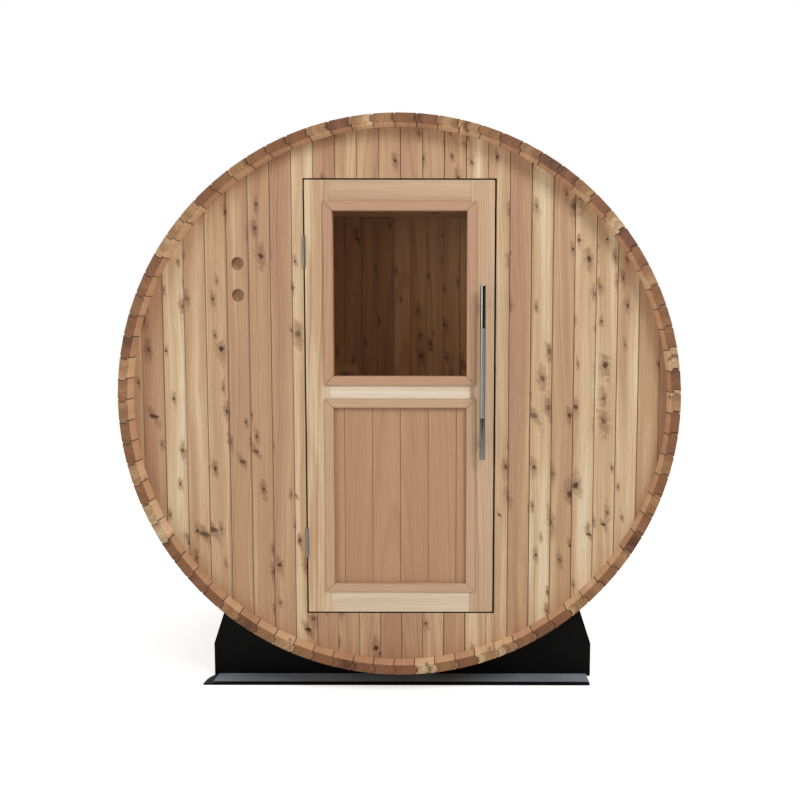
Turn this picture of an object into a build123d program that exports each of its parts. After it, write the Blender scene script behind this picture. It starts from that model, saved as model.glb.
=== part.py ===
from math import asin, cos, degrees, floor, radians, sin, sqrt, tan
import os

from build123d import *

os.makedirs("parts", exist_ok=True)

# Two-person barrel sauna, in millimetres, from the ground up.
# X runs to the right, Y to the rear and Z up. The origin is on the ground, under the middle of the barrel.

# Barrel
barrel_diameter = 1828.8
barrel_length = 1219.2
ground_gap = 76.2           # lowest stave above the ground
fit = 0.3                   # clearance between parts that only touch

# Staves: each has a bead on one edge that sits in the next one's cove
stave_count = 81
stave_groups = 9
stave_turn = -1.4           # first joint, in degrees to the right of the lowest point
stave_thickness = 32.0
stave_gap = 0.4
bead_width = 22.0
bead_rise = 9.0             # nose of the bead beyond the joint
bead_shoulder = 6.5         # height of its two straight flanks
bead_flank_angle = 70.0
edge_bevel = 3.5            # along both outer edges of each stave

# End walls, held in a groove that runs round inside the staves
wall_thickness = 35.0
overhang = 65.0             # staves beyond each end wall
groove_depth = 5.5
board_width = 71.2
vent_diameter = 41.0
vent_x = -531.0
vent_heights = (446.0, 343.0)    # above the barrel's axis

# Doorway and door leaf
opening_width = 631.0
opening_top = 720.0         # above the barrel's axis
opening_bottom = 723.0      # below the barrel's axis
door_gap = 5.0
leaf_thickness = 32.0
leaf_proud = 2.0            # leaf stands in front of the wall
stile_width = 78.0
rail_top_height = 87.0
rail_middle_height = 80.0
rail_bottom_height = 88.0
rail_middle_z = 26.0        # middle of the middle rail, above the barrel's axis
stop_width = 40.0
stop_thickness = 20.0
stop_cover = 17.0           # each stop reaches this far over the doorway

# Glass, lower panel and the mitred trims that hold them
trim_width = 30.0
trim_lap = 18.0             # trim over the stiles and rails
trim_face = 8.0             # trim in front of the leaf
glass_thickness = 8.0
panel_thickness = 14.0
mitre_gap = 0.4

# Lift-off hinges
hinge_height = 100.0
hinge_plate = 2.0
hinge_leaf_depth = 28.0
knuckle_diameter = 8.0
knuckle_gap = 0.5
pin_diameter = 4.5
pin_clearance = 0.25
hinge_heights = (485.0, -481.5)  # above the barrel's axis

# Pull handle
handle_diameter = 19.0
handle_top = 374.0          # above the barrel's axis
handle_bottom = -194.0
grip_top = 234.0
grip_bottom = -55.0
handle_standoff = 46.0      # middle of the bar in front of the leaf
post_diameter = 14.0
post_inset = 62.0           # posts from the ends of the bar
post_fit = 0.1
end_chamfer = 1.0

# Inside, on the rear wall
batten_drop = 168.6         # lower edge below the top of the barrel's inside
batten_height = 89.0
batten_end_gap = 16.0       # its upper corners from the staves
batten_thickness = 19.0
cleat_top = 82.0
cleat_height = 89.0
cleat_length = 420.0
cleat_thickness = 38.0
cleat_spread = 452.0        # clear width between the two cleats

# Cradles under the barrel, each folded from one plate
web_width = 1330.0
foot_width = 1300.0
cradle_inset = 202.0        # web behind the rim
cradle_plate = 8.0
foot_depth = 95.0           # foot in front of the web
side_height = 118.0         # top of the upright sides
horn_width = 1208.0         # between the tips that reach up the barrel
saddle_depth = 50.0         # saddle behind the web
screw_hole_diameter = 9.0
screw_hole_x = 509.0
screw_hole_z = 96.0
end_tab_width = 34.0        # small rounded tab beyond the left end of the foot
end_tab_thickness = 5.0

# Steel bands
band_inset = 130.0          # middle of each band from the rim
band_width = 20.0
band_thickness = 1.2
lug_stave = 31              # the ends turn up over this stave, counted from the first joint
lug_gap = 16.0
lug_height = 22.0
lug_thickness = 3.0
lug_bolt_hole = 7.0
lug_bolt_height = 13.0      # bolt above the strap

# Derived places
barrel_radius = barrel_diameter / 2
axis_height = ground_gap + barrel_radius
front_rim = -barrel_length / 2
rear_rim = barrel_length / 2
stave_pitch = 360 / stave_count
stave_inner = barrel_radius - stave_thickness
groove_floor = stave_inner * cos(radians(stave_pitch / 2)) + groove_depth
wall_radius = groove_floor - fit
front_wall_outer = front_rim + overhang
front_wall_inner = front_wall_outer + wall_thickness
rear_wall_outer = rear_rim - overhang
rear_wall_inner = rear_wall_outer - wall_thickness
opening_half = opening_width / 2
leaf_front = front_wall_outer - leaf_proud
leaf_back = leaf_front + leaf_thickness
hinge_x = -opening_half + door_gap / 2
hinge_y = leaf_front - knuckle_diameter / 2
leaf_left = -opening_half + door_gap
# The far edge is set back so that its rear corner still clears the jamb as it swings past
leaf_reach = sqrt((opening_half - door_gap - hinge_x) ** 2 - (leaf_back - hinge_y) ** 2)
leaf_right = hinge_x + leaf_reach
leaf_top = opening_top - door_gap
leaf_bottom = -opening_bottom + door_gap
bay_left = leaf_left + stile_width
bay_right = leaf_right - stile_width
window_top = leaf_top - rail_top_height
window_bottom = rail_middle_z + rail_middle_height / 2
panel_top = rail_middle_z - rail_middle_height / 2
panel_bottom = leaf_bottom + rail_bottom_height
handle_x = leaf_right - stile_width / 2
handle_y = leaf_front - handle_standoff


def upright(back_y):
    # A plane that faces the front, with its origin on the barrel's axis
    return Plane(origin=(0, back_y, axis_height), x_dir=(1, 0, 0), z_dir=(0, -1, 0))


def level(height):
    # A level plane at a height above the barrel's axis
    return Plane(origin=(0, 0, axis_height + height), x_dir=(1, 0, 0), z_dir=(0, 0, 1))


def save(part, name):
    part.label = name
    export_step(part, f"parts/{name}.step")


def block(name, x_low, x_high, front_y, back_y, z_low, z_high):
    # A plain rectangular board, its heights measured from the barrel's axis
    with BuildPart() as board:
        with BuildSketch(upright(back_y)):
            with Locations(((x_low + x_high) / 2, (z_low + z_high) / 2)):
                Rectangle(x_high - x_low, z_high - z_low)
        extrude(amount=back_y - front_y)
    save(board.part, name)


# Staves

joint_angle = stave_pitch / 2
bead_middle = barrel_radius - edge_bevel - bead_width / 2
shoulder_half = bead_width / 2 - bead_shoulder / tan(radians(bead_flank_angle))

# The bead stands on a joint line, with its base sunk in the stave that carries it
with BuildSketch() as bead:
    with BuildLine():
        Polyline(
            (bead_middle - shoulder_half, bead_shoulder),
            (bead_middle - bead_width / 2, 0),
            (bead_middle - bead_width / 2, -bead_rise),
            (bead_middle + bead_width / 2, -bead_rise),
            (bead_middle + bead_width / 2, 0),
            (bead_middle + shoulder_half, bead_shoulder),
        )
        ThreePointArc(
            (bead_middle + shoulder_half, bead_shoulder),
            (bead_middle, bead_rise),
            (bead_middle - shoulder_half, bead_shoulder),
        )
    make_face()

with BuildSketch() as cove:
    add(bead.sketch)
    offset(amount=stave_gap, kind=Kind.INTERSECTION, mode=Mode.REPLACE)


def joint_point(radius, side, setback):
    # A point beside the joint line on one side of a stave, set back from it into the wood
    turn = radians(joint_angle)
    return (
        radius * cos(turn) + setback * sin(turn),
        side * (radius * sin(turn) - setback * cos(turn)),
    )


with BuildSketch() as stave_profile:
    with BuildLine():
        Polyline(
            joint_point(stave_inner, 1, stave_gap / 2),
            joint_point(stave_inner, -1, stave_gap / 2),
            joint_point(barrel_radius - edge_bevel, -1, stave_gap / 2),
            joint_point(barrel_radius, -1, edge_bevel),
            joint_point(barrel_radius, 1, edge_bevel),
            joint_point(barrel_radius - edge_bevel, 1, stave_gap / 2),
            close=True,
        )
    make_face()
    with Locations(Rotation(0, 0, joint_angle) * Pos(0, -stave_gap / 2)):
        add(bead.sketch)
    with Locations(Rotation(0, 0, -joint_angle) * Pos(0, -stave_gap / 2)):
        add(cove.sketch, mode=Mode.SUBTRACT)


stave_names = [
    "staves_bottom",
    "staves_lower_right",
    "staves_right",
    "staves_upper_right",
    "staves_top_right",
    "staves_top_left",
    "staves_upper_left",
    "staves_left",
    "staves_lower_left",
]
staves_each = stave_count // stave_groups
first_stave = stave_turn - 90 - (staves_each // 2) * stave_pitch + stave_pitch / 2
for group, name in enumerate(stave_names):
    start = first_stave + group * staves_each * stave_pitch
    with BuildPart() as staves:
        with BuildSketch(upright(rear_rim)):
            with PolarLocations(0, staves_each, start, staves_each * stave_pitch):
                add(stave_profile.sketch)
        extrude(amount=barrel_length)
        for wall_back in (front_wall_inner, rear_wall_outer):
            with BuildSketch(upright(wall_back + fit)):
                RegularPolygon(groove_floor, stave_count, major_radius=False, rotation=stave_turn - 90)
            extrude(amount=wall_thickness + 2 * fit, mode=Mode.SUBTRACT)
    save(staves.part, name)


# End walls

def wall_piece(x_low, x_high, z_low, z_high, holes=()):
    # The part of the front wall inside a box, rounded where it meets the barrel
    with BuildPart() as piece:
        with BuildSketch(upright(front_wall_inner)):
            Circle(wall_radius)
            with Locations(((x_low + x_high) / 2, (z_low + z_high) / 2)):
                Rectangle(x_high - x_low, z_high - z_low, mode=Mode.INTERSECT)
            if holes:
                with Locations(*[(vent_x, height) for height in holes]):
                    Circle(vent_diameter / 2, mode=Mode.SUBTRACT)
        extrude(amount=wall_thickness)
    return piece.part


# The board with the vents stays between its own two seams
bored_left = floor(vent_x / board_width) * board_width
bored_right = bored_left + board_width
save(wall_piece(-wall_radius, bored_left, -wall_radius, wall_radius), "front_wall_left")
save(wall_piece(bored_left, bored_right, -wall_radius, wall_radius, vent_heights), "front_wall_vent_board")
save(wall_piece(-opening_half, opening_half, opening_top, wall_radius), "front_wall_head")
save(wall_piece(-opening_half, opening_half, -wall_radius, -opening_bottom), "front_wall_sill")
save(wall_piece(opening_half, wall_radius, -wall_radius, wall_radius), "front_wall_right")

with BuildPart() as rear_wall:
    with BuildSketch(upright(rear_wall_outer)):
        Circle(wall_radius)
    extrude(amount=wall_thickness)
save(rear_wall.part, "rear_wall")


# The jamb has a shallow recess for each hinge leaf, open towards the front
with BuildPart() as hinge_jamb:
    add(wall_piece(bored_right, -opening_half, -wall_radius, wall_radius))
    with BuildSketch(upright(leaf_front + hinge_leaf_depth + fit)):
        with Locations(*[(-opening_half - hinge_plate / 2, height) for height in hinge_heights]):
            Rectangle(hinge_plate, hinge_height + 2 * fit)
    extrude(amount=wall_thickness, mode=Mode.SUBTRACT)
save(hinge_jamb.part, "front_wall_hinge_side")

# Stops behind the door leaf, on the inner face of the front wall
stop_back = front_wall_inner + stop_thickness
stop_in = opening_half - stop_cover
stop_out = stop_in + stop_width
stop_low = -opening_bottom + stop_cover
stop_high = opening_top - stop_cover
stop_y = (front_wall_inner, stop_back)
block("door_stop_left", -stop_out, -stop_in, *stop_y, stop_low - stop_width, stop_high + stop_width)
block("door_stop_right", stop_in, stop_out, *stop_y, stop_low - stop_width, stop_high + stop_width)
block("door_stop_top", -stop_in, stop_in, *stop_y, stop_high, stop_high + stop_width)
block("door_stop_bottom", -stop_in, stop_in, *stop_y, stop_low - stop_width, stop_low)

# Boards on the inside of the rear wall
batten_bottom = stave_inner - batten_drop
batten_top = batten_bottom + batten_height
batten_half = sqrt(stave_inner**2 - batten_top**2) - batten_end_gap
batten_front = rear_wall_inner - batten_thickness
block("rear_wall_batten", -batten_half, batten_half, batten_front, rear_wall_inner, batten_bottom, batten_top)
for name, side in (("rear_cleat_left", -1), ("rear_cleat_right", 1)):
    cleat_ends = sorted((side * cleat_spread / 2, side * (cleat_spread / 2 + cleat_length)))
    block(
        name,
        *cleat_ends,
        rear_wall_inner - cleat_thickness,
        rear_wall_inner,
        cleat_top - cleat_height,
        cleat_top,
    )


# Door leaf

with BuildPart() as hinge_stile:
    with BuildSketch(upright(leaf_back)):
        with Locations(((leaf_left + bay_left) / 2, (leaf_bottom + leaf_top) / 2)):
            Rectangle(stile_width, leaf_top - leaf_bottom)
    extrude(amount=leaf_thickness)
    with BuildSketch(upright(leaf_front + hinge_leaf_depth + fit)):
        with Locations(*[(leaf_left + hinge_plate / 2, height) for height in hinge_heights]):
            Rectangle(hinge_plate, hinge_height + 2 * fit)
    extrude(amount=leaf_thickness, mode=Mode.SUBTRACT)
save(hinge_stile.part, "door_stile_hinge")

leaf_y = (leaf_front, leaf_back)
block("door_stile_latch", bay_right, leaf_right, *leaf_y, leaf_bottom, leaf_top)
block("door_rail_top", bay_left, bay_right, *leaf_y, window_top, leaf_top)
block("door_rail_middle", bay_left, bay_right, *leaf_y, panel_top, window_bottom)
block("door_rail_bottom", bay_left, bay_right, *leaf_y, leaf_bottom, panel_bottom)

leaf_middle = (leaf_front + leaf_back) / 2
block(
    "door_glass",
    bay_left + fit,
    bay_right - fit,
    leaf_middle - glass_thickness / 2,
    leaf_middle + glass_thickness / 2,
    window_bottom + fit,
    window_top - fit,
)
block(
    "door_panel",
    bay_left + fit,
    bay_right - fit,
    leaf_middle - panel_thickness / 2,
    leaf_middle + panel_thickness / 2,
    panel_bottom + fit,
    panel_top - fit,
)


def bay_trim(name, z_low, z_high, face_y, outward, held_thickness):
    # Four mitred lengths round one bay: a flat face on the leaf, and a stop that runs in to the pane
    width = bay_right - bay_left
    height = z_high - z_low
    middle = ((bay_left + bay_right) / 2, (z_low + z_high) / 2)
    stop_length = (leaf_thickness - held_thickness) / 2
    stop_inside = trim_width - trim_lap
    sight = (width - 2 * stop_inside, height - 2 * stop_inside)
    outer = (width + 2 * trim_lap, height + 2 * trim_lap)
    with BuildPart() as trim:
        with BuildSketch(upright(face_y)):
            with Locations(middle):
                Rectangle(*outer)
                Rectangle(*sight, mode=Mode.SUBTRACT)
        extrude(amount=outward * trim_face)
        with BuildSketch(upright(face_y)):
            with Locations(middle):
                Rectangle(width - 2 * fit, height - 2 * fit)
                Rectangle(*sight, mode=Mode.SUBTRACT)
        extrude(amount=-outward * stop_length)
        with BuildSketch(upright(face_y)):
            for across in (-1, 1):
                for up in (-1, 1):
                    corner = (
                        middle[0] + across * sight[0] / 2,
                        middle[1] + up * sight[1] / 2,
                    )
                    with Locations(Location((*corner, 0), (0, 0, 1), up * across * 45)):
                        Rectangle(4 * trim_width, mitre_gap)
        extrude(amount=2 * leaf_thickness, both=True, mode=Mode.SUBTRACT)
    save(trim.part, name)


bay_trim("window_trim_outside", window_bottom, window_top, leaf_front, 1, glass_thickness)
bay_trim("window_trim_inside", window_bottom, window_top, leaf_back, -1, glass_thickness)
bay_trim("panel_trim_outside", panel_bottom, panel_top, leaf_front, 1, panel_thickness)
bay_trim("panel_trim_inside", panel_bottom, panel_top, leaf_back, -1, panel_thickness)


# Hinges

knuckle_height = (hinge_height - knuckle_gap) / 2


def hinge_leaves(x_low, knuckle_bottom):
    # Two plates let into the wood, each with the knuckle that it carries on the pin's line
    plate_middle = x_low + hinge_plate / 2
    with BuildPart() as leaves:
        with BuildSketch(upright(leaf_front + hinge_leaf_depth)):
            with Locations(*[(plate_middle, height) for height in hinge_heights]):
                Rectangle(hinge_plate, hinge_height)
        extrude(amount=hinge_leaf_depth)
        for height in hinge_heights:
            with BuildSketch(level(height + knuckle_bottom)):
                with Locations((hinge_x, hinge_y)):
                    Circle(knuckle_diameter / 2)
                with Locations(((plate_middle + hinge_x) / 2, leaf_front)):
                    Rectangle(abs(plate_middle - hinge_x) + hinge_plate, hinge_plate)
            extrude(amount=knuckle_height)
    return leaves.part


with BuildPart() as frame_hinges:
    add(hinge_leaves(-opening_half - hinge_plate, -hinge_height / 2))
    for height in hinge_heights:
        with BuildSketch(level(height - hinge_height / 2)):
            with Locations((hinge_x, hinge_y)):
                Circle(pin_diameter / 2)
        extrude(amount=hinge_height)
save(frame_hinges.part, "hinges_frame_side")

with BuildPart() as door_hinges:
    add(hinge_leaves(leaf_left, knuckle_gap / 2))
    for height in hinge_heights:
        with BuildSketch(level(height - hinge_height / 2)):
            with Locations((hinge_x, hinge_y)):
                Circle(pin_diameter / 2 + pin_clearance)
        extrude(amount=hinge_height, mode=Mode.SUBTRACT)
save(door_hinges.part, "hinges_door_side")


# Pull handle

with BuildPart() as handle_grip:
    with BuildSketch(level(grip_bottom)):
        with Locations((handle_x, handle_y)):
            Circle(handle_diameter / 2)
    extrude(amount=grip_top - grip_bottom)
save(handle_grip.part, "handle_grip")

with BuildPart() as handle_ends:
    for low, high in ((handle_bottom, grip_bottom), (grip_top, handle_top)):
        with BuildSketch(level(low)):
            with Locations((handle_x, handle_y)):
                Circle(handle_diameter / 2)
        extrude(amount=high - low)
    tips = handle_ends.faces().filter_by(GeomType.PLANE).sort_by(Axis.Z)
    chamfer(tips[0].edges() + tips[-1].edges(), end_chamfer)
save(handle_ends.part, "handle_ends")

# Each post runs out from the leaf and is hollowed to fit the round bar
with BuildPart() as handle_posts:
    with BuildSketch(upright(leaf_front)):
        with Locations((handle_x, handle_bottom + post_inset), (handle_x, handle_top - post_inset)):
            Circle(post_diameter / 2)
    extrude(amount=handle_standoff)
    with BuildSketch(level(handle_bottom)):
        with Locations((handle_x, handle_y)):
            Circle(handle_diameter / 2 + post_fit)
    extrude(amount=handle_top - handle_bottom, mode=Mode.SUBTRACT)
save(handle_posts.part, "handle_posts")


# Cradles

def arc_point(radius, turn):
    # A point round the barrel's axis, a turn in degrees to the right of its lowest point
    return (radius * sin(radians(turn)), -radius * cos(radians(turn)))


half_web = web_width / 2
half_foot = foot_width / 2
half_horn = horn_width / 2
seat_radius = barrel_radius + fit
horn_z = -sqrt(seat_radius**2 - half_horn**2)
saddle_reach = degrees(asin(half_horn / seat_radius))
web_front = front_rim + cradle_inset
web_back = web_front + cradle_plate
foot_front = web_front - foot_depth

with BuildPart() as cradle_front:
    # Web, cut to the round of the barrel
    with BuildSketch(upright(web_back)):
        with BuildLine():
            Polyline(
                (-half_horn, horn_z),
                (-half_web, side_height - axis_height),
                (-half_web, -axis_height),
                (half_web, -axis_height),
                (half_web, side_height - axis_height),
                (half_horn, horn_z),
            )
            ThreePointArc((half_horn, horn_z), (0, -seat_radius), (-half_horn, horn_z))
        make_face()
        with Locations(*[(side * screw_hole_x, screw_hole_z - axis_height) for side in (-1, 1)]):
            Circle(screw_hole_diameter / 2, mode=Mode.SUBTRACT)
    extrude(amount=cradle_plate)
    # Foot, folded forwards
    with BuildSketch(upright(web_back)):
        with Locations((0, cradle_plate / 2 - axis_height)):
            Rectangle(foot_width, cradle_plate)
    extrude(amount=foot_depth + cradle_plate)
    # Rounded tab beyond the left end of the foot
    with BuildSketch(level(-axis_height)):
        with Locations((-half_foot, foot_front)):
            Ellipse(end_tab_width, foot_depth)
        with Locations((-half_foot - end_tab_width / 2, foot_front + foot_depth / 2)):
            Rectangle(end_tab_width, foot_depth, mode=Mode.INTERSECT)
    extrude(amount=end_tab_thickness)
    # Saddle, folded back under the staves
    with BuildSketch(upright(web_back + saddle_depth)):
        with BuildLine():
            CenterArc((0, 0), seat_radius, -90 - saddle_reach, 2 * saddle_reach)
            Line(arc_point(seat_radius, saddle_reach), arc_point(seat_radius + cradle_plate, saddle_reach))
            CenterArc((0, 0), seat_radius + cradle_plate, -90 + saddle_reach, -2 * saddle_reach)
            Line(arc_point(seat_radius + cradle_plate, -saddle_reach), arc_point(seat_radius, -saddle_reach))
        make_face()
    extrude(amount=saddle_depth)
save(cradle_front.part, "cradle_front")

with BuildPart() as cradle_rear:
    mirror(cradle_front.part, about=Plane.XZ)
save(cradle_rear.part, "cradle_rear")


# Steel bands

def band(name, band_y):
    # A flat strap bent from stave to stave, whose two ends turn up to be drawn together by a bolt
    strap_inner = barrel_radius * cos(radians(joint_angle)) + fit
    strap_outer = strap_inner + band_thickness
    lug_turn = stave_turn + (lug_stave + 0.5) * stave_pitch
    lug_foot = arc_point(strap_inner, lug_turn)
    with BuildPart() as strap:
        with BuildSketch(upright(band_y + band_width / 2)):
            RegularPolygon(strap_outer, stave_count, major_radius=False, rotation=stave_turn - 90)
            RegularPolygon(
                strap_inner, stave_count, major_radius=False, rotation=stave_turn - 90, mode=Mode.SUBTRACT
            )
            with Locations(Location((*lug_foot, 0), (0, 0, 1), lug_turn - 90)):
                Rectangle(lug_height, lug_gap, mode=Mode.SUBTRACT)
                for side in (-1, 1):
                    with Locations((lug_height / 2, side * (lug_gap + lug_thickness) / 2)):
                        Rectangle(lug_height, lug_thickness)
        extrude(amount=band_width)
        bolt_x, bolt_z = arc_point(strap_outer + lug_bolt_height, lug_turn)
        along = (cos(radians(lug_turn)), 0, sin(radians(lug_turn)))    # square to both lugs
        with BuildSketch(Plane(origin=(bolt_x, band_y, axis_height + bolt_z), z_dir=along)):
            Circle(lug_bolt_hole / 2)
        extrude(amount=lug_height, both=True, mode=Mode.SUBTRACT)
    save(strap.part, name)


band("band_front", front_rim + band_inset)
band("band_rear", rear_rim - band_inset)
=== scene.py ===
import math

import bmesh
import bpy
from mathutils import Matrix, Vector


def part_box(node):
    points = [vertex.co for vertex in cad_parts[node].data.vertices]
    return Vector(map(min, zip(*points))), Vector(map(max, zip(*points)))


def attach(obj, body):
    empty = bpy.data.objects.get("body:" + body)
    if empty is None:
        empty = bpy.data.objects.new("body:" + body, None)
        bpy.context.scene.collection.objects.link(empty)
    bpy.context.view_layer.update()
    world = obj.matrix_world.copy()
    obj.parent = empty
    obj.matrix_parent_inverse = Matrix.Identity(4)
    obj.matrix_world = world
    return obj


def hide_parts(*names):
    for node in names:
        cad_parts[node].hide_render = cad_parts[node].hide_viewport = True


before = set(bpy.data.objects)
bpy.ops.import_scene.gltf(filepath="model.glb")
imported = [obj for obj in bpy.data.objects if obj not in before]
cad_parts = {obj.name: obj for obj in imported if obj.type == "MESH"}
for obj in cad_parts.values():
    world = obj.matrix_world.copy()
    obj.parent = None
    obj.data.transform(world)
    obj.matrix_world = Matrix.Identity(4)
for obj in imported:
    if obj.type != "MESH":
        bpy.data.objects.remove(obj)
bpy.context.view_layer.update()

mm = 0.001

# The barrel's own sizes; the turn is that of the first joint, right of the lowest point
axisHeight = 990.6 * mm
barrel = {"radius": 914.4 * mm, "thickness": 32 * mm, "staves": 81, "turn": -1.4}

# Where the photograph was taken from, fitted to the rim, the door and the cradle's foot
camera = {
    "place": (0.13193, -3.7816, 1.22051), "pitch": 5.532, "roll": 0.08,
    "lens": 44.07, "sensor": 36, "shift": (-0.05, 0.03125),
}


# Materials

def linear(code, alpha=1.0):
    # sRGB hex to the linear colour that Blender keeps
    parts = [int(code[i:i + 2], 16) / 255 for i in (1, 3, 5)]
    return tuple(c / 12.92 if c <= 0.04045 else ((c + 0.055) / 1.055) ** 2.4 for c in parts) + (alpha,)


def addNode(tree, kind, settings=None, *values, **named):
    # A node's first output stands for the node wherever it is used as an input
    node = tree.nodes.new("ShaderNode" + kind)
    for key, value in (settings or {}).items():
        if key == "stops":
            ramp = node.color_ramp
            while len(ramp.elements) < len(value):
                ramp.elements.new(0.5)
            for element, (position, colour) in zip(ramp.elements, value):
                element.position = position
                element.color = linear(colour)
        else:
            setattr(node, key, value)
    for key, value in list(enumerate(values)) + [(k.replace("_", " "), v) for k, v in named.items()]:
        if isinstance(value, bpy.types.Node):
            value = value.outputs[0]
        if isinstance(value, bpy.types.NodeSocket):
            tree.links.new(value, node.inputs[key])
        elif value is not None:
            node.inputs[key].default_value = value
    return node


def newMaterial(name):
    material = bpy.data.materials.new(name)
    material.use_nodes = True
    tree = material.node_tree
    tree.nodes.clear()
    shader = addNode(tree, "BsdfPrincipled")
    addNode(tree, "OutputMaterial", None, shader)
    return material, tree, shader


# What all the cedar shares. Real fibres are far finer than a pixel, so they are drawn 1.5 mm wide to show.
grain = {
    "waveWidth": 111.11 * mm, "waveLength": 625 * mm, "stripeLength": 1250 * mm,
    "fibreWidth": 1.5385 * mm, "fibreLength": 71.43 * mm, "relief": 0.25 * mm,
    "nearestHeart": 12 * mm, "heartAside": 50 * mm, "taper": 0.012,
    "knotPush": 7 * mm, "flameLength": 0.36, "boardShift": 3.71,
    "knotDepth": (0.45, 1.0), "roughness": (0.5, 0.68), "ior": 1.5,
}


def sawnWood(tree, shader, across, along, depth, board, endways, wood):
    # Grain in the solid: growth rings round a heart outside the board, so that faces show long lines
    # and tall arches, and the ends show arcs. Across, along and depth are lengths in metres.
    seeded = addNode(tree, "Math", {"operation": "ADD"}, board, wood["seed"])
    chance = addNode(tree, "TexWhiteNoise", {"noise_dimensions": "1D"}, W=seeded)
    dice = addNode(tree, "SeparateColor", None, chance.outputs["Color"])
    shifted = addNode(tree, "Math", {"operation": "MULTIPLY"}, seeded, grain["boardShift"])
    waveAcross = addNode(tree, "Math", {"operation": "DIVIDE"}, across, grain["waveWidth"])
    waveAlong = addNode(tree, "Math", {"operation": "DIVIDE"}, along, grain["waveLength"])
    wavePlace = addNode(tree, "CombineXYZ", None, waveAcross, waveAlong, shifted)
    wander = addNode(tree, "TexNoise", None, Vector=wavePlace, Scale=1.0, Detail=2.0)
    wanderOff = addNode(tree, "Math", {"operation": "SUBTRACT"}, wander, 0.5)
    bent = addNode(tree, "Math", {"operation": "MULTIPLY_ADD"}, wanderOff, wood["wander"], across)

    # Two scatters of knots: round ones, and long ones where a branch was cut along its length
    masks = []
    for spacing, stretch, slant, share, small, spread in wood["knots"]:
        slanted = addNode(tree, "Math", {"operation": "MULTIPLY_ADD"}, along, slant, across)
        cellAcross = addNode(tree, "Math", {"operation": "DIVIDE"}, slanted, spacing * stretch)
        cellAlong = addNode(tree, "Math", {"operation": "DIVIDE"}, along, spacing)
        cellPlace = addNode(tree, "CombineXYZ", None, cellAcross, cellAlong, shifted)
        moved = addNode(tree, "VectorMath", {"operation": "ADD"}, cellPlace, dice.outputs[0])
        cells = addNode(tree, "TexVoronoi", {"voronoi_dimensions": "2D"}, Vector=moved, Scale=1.0, Randomness=0.8)
        away = addNode(tree, "Math", {"operation": "MULTIPLY"}, cells.outputs["Distance"], spacing)
        cellDice = addNode(tree, "SeparateColor", None, cells.outputs["Color"])
        boardShare = addNode(tree, "MapRange", None, dice.outputs[2], 0.0, 1.0, share * 1.3, share * 0.5)
        picked = addNode(tree, "Math", {"operation": "LESS_THAN"}, cellDice, boardShare)
        knotDice = addNode(tree, "Math", {"operation": "POWER"}, cellDice.outputs[1], 2.5)
        knotSize = addNode(tree, "Math", {"operation": "MULTIPLY_ADD"}, knotDice, spread, small)
        ragged = addNode(tree, "TexNoise", None, Vector=cellPlace, Scale=7.0, Detail=3.0)
        raggedSize = addNode(tree, "Math", {"operation": "MULTIPLY"}, knotSize, ragged)
        inKnots = addNode(tree, "Math", {"operation": "DIVIDE"}, away, raggedSize)
        core = addNode(tree, "MapRange", {"interpolation_type": "SMOOTHSTEP"}, inKnots, 1.5, 2.6, 1.0, 0.0)
        # The grain closes round a knot in a flame drawn out along the board
        fromKnot = addNode(tree, "VectorMath", {"operation": "SUBTRACT"}, moved, cells.outputs["Position"])
        flameScale = (spacing * stretch, spacing * grain["flameLength"], 0.0)
        flame = addNode(tree, "VectorMath", {"operation": "MULTIPLY"}, fromKnot, flameScale)
        flameSize = addNode(tree, "VectorMath", {"operation": "LENGTH"}, flame)
        inFlame = addNode(tree, "Math", {"operation": "DIVIDE"}, flameSize.outputs["Value"], raggedSize)
        halo = addNode(tree, "MapRange", {"interpolation_type": "SMOOTHSTEP"}, inFlame, 1.2, 5.5, 1.0, 0.0)
        depthOfTone = addNode(tree, "MapRange", None, cellDice.outputs[2], 0.0, 1.0, *grain["knotDepth"])
        coreHere = addNode(tree, "Math", {"operation": "MULTIPLY"}, core, picked)
        toned = addNode(tree, "Math", {"operation": "MULTIPLY"}, coreHere, depthOfTone)
        haloHere = addNode(tree, "Math", {"operation": "MULTIPLY"}, halo, picked)
        masks.append((toned, haloHere))
    knotHere = addNode(tree, "Math", {"operation": "MAXIMUM"}, masks[0][0], masks[1][0])
    swirlHere = addNode(tree, "Math", {"operation": "MAXIMUM"}, masks[0][1], masks[1][1])
    pushed = addNode(tree, "Math", {"operation": "MULTIPLY_ADD"}, swirlHere, grain["knotPush"], bent)

    # Growth rings
    nearest = grain["nearestHeart"]
    heart = addNode(tree, "Math", {"operation": "MULTIPLY_ADD"}, dice.outputs[0], wood["heart"], nearest)
    sideways = addNode(tree, "Math", {"operation": "MULTIPLY_ADD"}, dice.outputs[1], grain["heartAside"], pushed)
    down = addNode(tree, "Math", {"operation": "ADD"}, depth, heart)
    fromHeart = addNode(tree, "CombineXYZ", None, sideways, down, 0.0)
    ringRadius = addNode(tree, "VectorMath", {"operation": "LENGTH"}, fromHeart).outputs["Value"]
    tapered = addNode(tree, "Math", {"operation": "MULTIPLY_ADD"}, along, grain["taper"], ringRadius)
    rings = addNode(tree, "Math", {"operation": "DIVIDE"}, tapered, wood["ringWidth"])
    uneven = addNode(tree, "TexNoise", {"noise_dimensions": "1D"}, W=rings, Scale=0.35, Detail=1.0)
    ringPlace = addNode(tree, "Math", {"operation": "MULTIPLY_ADD"}, uneven, 3.0, rings)
    ringPart = addNode(tree, "Math", {"operation": "FRACT"}, ringPlace)
    ringStops = [(0.0, "#000000"), (0.55, "#3C3C3C"), (0.9, "#FFFFFF"), (1.0, "#202020")]
    lateWood = addNode(tree, "ValToRGB", {"stops": ringStops}, ringPart)

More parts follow.
